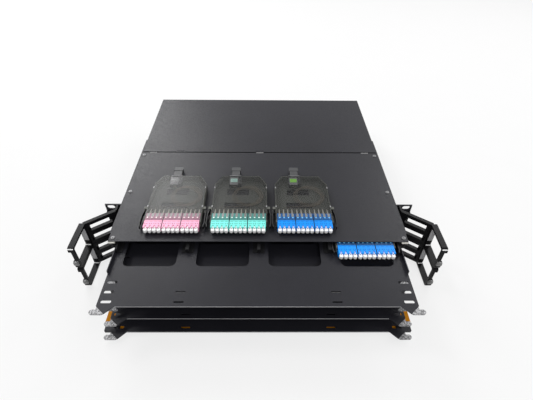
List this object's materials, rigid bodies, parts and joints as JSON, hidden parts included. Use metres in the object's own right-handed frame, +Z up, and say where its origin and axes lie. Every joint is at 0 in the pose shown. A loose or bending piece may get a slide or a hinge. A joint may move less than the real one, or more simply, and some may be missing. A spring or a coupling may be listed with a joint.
{
  "type": "sliding fibre patch drawer",
  "caption": "Rack-mount fibre patch housing with sliding trays, snap-in fibre modules, a two-part top cover and side cable combs.",
  "frame": {"origin": "middle of the base's underside, in the plane of the rack ears' front faces", "axes": "+X to the right across the rack seen from the front, +Y to the rear, +Z up"},
  "size_m": [0.533, 0.5221, 0.0996],
  "materials": {
    "black_steel": "fine textured powder coat, near black",
    "zinc_steel": "dark plated steel",
    "black_plastic": "satin black moulding",
    "black_screw": "black plated",
    "orange_film": "orange film",
    "smoky_plastic": "smoky translucent moulding",
    "smoked_clear": "smoked clear, polished",
    "pink_plastic": "pink moulding",
    "aqua_plastic": "aqua moulding",
    "blue_plastic": "blue moulding",
    "white_plastic": "soft white",
    "inner_fibre": "pale tan connectors and fibre"
  },
  "bodies": {
    "chassis": {"base_pan": "black_steel", "rear_panel": "black_steel", "front_cover": "black_steel", "rear_cover": "black_steel", "rack_ears": "black_steel", "runners": "zinc_steel", "comb_left": "black_plastic", "comb_right": "black_plastic", "screws": "black_screw", "base_strip": "orange_film"},
    "tray_1": {"tray_1": "black_steel", "tray_1_guides": "black_plastic", "tray_1_tabs": "smoky_plastic"},
    "tray_2": {"tray_2": "black_steel", "tray_2_guides": "black_plastic", "tray_2_tabs": "smoky_plastic"},
    "tray_3": {"tray_3": "black_steel", "tray_3_guides": "black_plastic", "tray_3_tabs": "smoky_plastic"},
    "tray_4": {"tray_4": "black_steel", "tray_4_guides": "black_plastic", "tray_4_tabs": "smoky_plastic"},
    "tray_5": {"tray_5": "black_steel", "tray_5_guides": "black_plastic", "tray_5_tabs": "smoky_plastic"},
    "tray_6": {"tray_6": "black_steel", "tray_6_guides": "black_plastic", "tray_6_tabs": "smoky_plastic"},
    "bay_module": {"bay_module_shell": "black_plastic", "bay_module_lid": "smoked_clear", "bay_module_adapters": "blue_plastic", "bay_module_dust_caps": "white_plastic", "bay_module_rear_adapter": "black_plastic", "bay_module_pigtails": "inner_fibre"},
    "bay_module_latch_left": {"bay_module_latch_left": "black_plastic"},
    "bay_module_latch_right": {"bay_module_latch_right": "black_plastic"},
    "pink_module": {"pink_module_shell": "black_plastic", "pink_module_lid": "smoked_clear", "pink_module_adapters": "pink_plastic", "pink_module_dust_caps": "white_plastic", "pink_module_rear_adapter": "black_plastic", "pink_module_pigtails": "inner_fibre"},
    "pink_module_latch_left": {"pink_module_latch_left": "black_plastic"},
    "pink_module_latch_right": {"pink_module_latch_right": "black_plastic"},
    "aqua_module": {"aqua_module_shell": "black_plastic", "aqua_module_lid": "smoked_clear", "aqua_module_adapters": "aqua_plastic", "aqua_module_dust_caps": "white_plastic", "aqua_module_rear_adapter": "black_plastic", "aqua_module_pigtails": "inner_fibre"},
    "aqua_module_latch_left": {"aqua_module_latch_left": "black_plastic"},
    "aqua_module_latch_right": {"aqua_module_latch_right": "black_plastic"},
    "blue_module": {"blue_module_shell": "black_plastic", "blue_module_lid": "smoked_clear", "blue_module_adapters": "blue_plastic", "blue_module_dust_caps": "white_plastic", "blue_module_rear_adapter": "black_plastic", "blue_module_pigtails": "inner_fibre"},
    "blue_module_latch_left": {"blue_module_latch_left": "black_plastic"},
    "blue_module_latch_right": {"blue_module_latch_right": "black_plastic"}
  },
  "joints": [
    {"name": "tray_1_slide", "type": "slide", "parent": "chassis", "child": "tray_1", "axis": [0, -1, 0], "range_m": [-0.065, 0.085]},
    {"name": "tray_2_slide", "type": "slide", "parent": "chassis", "child": "tray_2", "axis": [0, -1, 0], "range_m": [-0.0124, 0.1376]},
    {"name": "tray_3_slide", "type": "slide", "parent": "chassis", "child": "tray_3", "axis": [0, -1, 0], "range_m": [-0.0254, 0.1246]},
    {"name": "tray_4_slide", "type": "slide", "parent": "chassis", "child": "tray_4", "axis": [0, -1, 0], "range_m": [-0.0349, 0.1151]},
    {"name": "tray_5_slide", "type": "slide", "parent": "chassis", "child": "tray_5", "axis": [0, -1, 0], "range_m": [-0.0504, 0.0996]},
    {"name": "tray_6_slide", "type": "slide", "parent": "chassis", "child": "tray_6", "axis": [0, -1, 0], "range_m": [-0.0629, 0.0871]},
    {"name": "bay_module_slide", "type": "slide", "parent": "tray_1", "child": "bay_module", "axis": [0, -1, 0], "range_m": [0, 0.11]},
    {"name": "bay_module_latch_left_squeeze", "type": "hinge", "parent": "bay_module", "child": "bay_module_latch_left", "pos_m": [0.10795, -0.0545, 0.0806], "axis": [0, 0, 1], "range_deg": [0, 4], "stiffness_Nm_per_rad": 0.3},
    {"name": "bay_module_latch_right_squeeze", "type": "hinge", "parent": "bay_module", "child": "bay_module_latch_right", "pos_m": [0.19595, -0.0545, 0.0806], "axis": [0, 0, -1], "range_deg": [0, 4], "stiffness_Nm_per_rad": 0.3},
    {"name": "pink_module_lift", "type": "slide", "parent": "chassis", "child": "pink_module", "axis": [0, 0, 1], "range_m": [0, 0.1]},
    {"name": "pink_module_latch_left_squeeze", "type": "hinge", "parent": "pink_module", "child": "pink_module_latch_left", "pos_m": [-0.171, -0.018, 0.0941], "axis": [0, 0, 1], "range_deg": [0, 4], "stiffness_Nm_per_rad": 0.3},
    {"name": "pink_module_latch_right_squeeze", "type": "hinge", "parent": "pink_module", "child": "pink_module_latch_right", "pos_m": [-0.083, -0.018, 0.0941], "axis": [0, 0, -1], "range_deg": [0, 4], "stiffness_Nm_per_rad": 0.3},
    {"name": "aqua_module_lift", "type": "slide", "parent": "chassis", "child": "aqua_module", "axis": [0, 0, 1], "range_m": [0, 0.1]},
    {"name": "aqua_module_latch_left_squeeze", "type": "hinge", "parent": "aqua_module", "child": "aqua_module_latch_left", "pos_m": [-0.074, -0.018, 0.0941], "axis": [0, 0, 1], "range_deg": [0, 4], "stiffness_Nm_per_rad": 0.3},
    {"name": "aqua_module_latch_right_squeeze", "type": "hinge", "parent": "aqua_module", "child": "aqua_module_latch_right", "pos_m": [0.014, -0.018, 0.0941], "axis": [0, 0, -1], "range_deg": [0, 4], "stiffness_Nm_per_rad": 0.3},
    {"name": "blue_module_lift", "type": "slide", "parent": "chassis", "child": "blue_module", "axis": [0, 0, 1], "range_m": [0, 0.1]},
    {"name": "blue_module_latch_left_squeeze", "type": "hinge", "parent": "blue_module", "child": "blue_module_latch_left", "pos_m": [0.023, -0.018, 0.0941], "axis": [0, 0, 1], "range_deg": [0, 4], "stiffness_Nm_per_rad": 0.3},
    {"name": "blue_module_latch_right_squeeze", "type": "hinge", "parent": "blue_module", "child": "blue_module_latch_right", "pos_m": [0.111, -0.018, 0.0941], "axis": [0, 0, -1], "range_deg": [0, 4], "stiffness_Nm_per_rad": 0.3}
  ]
}
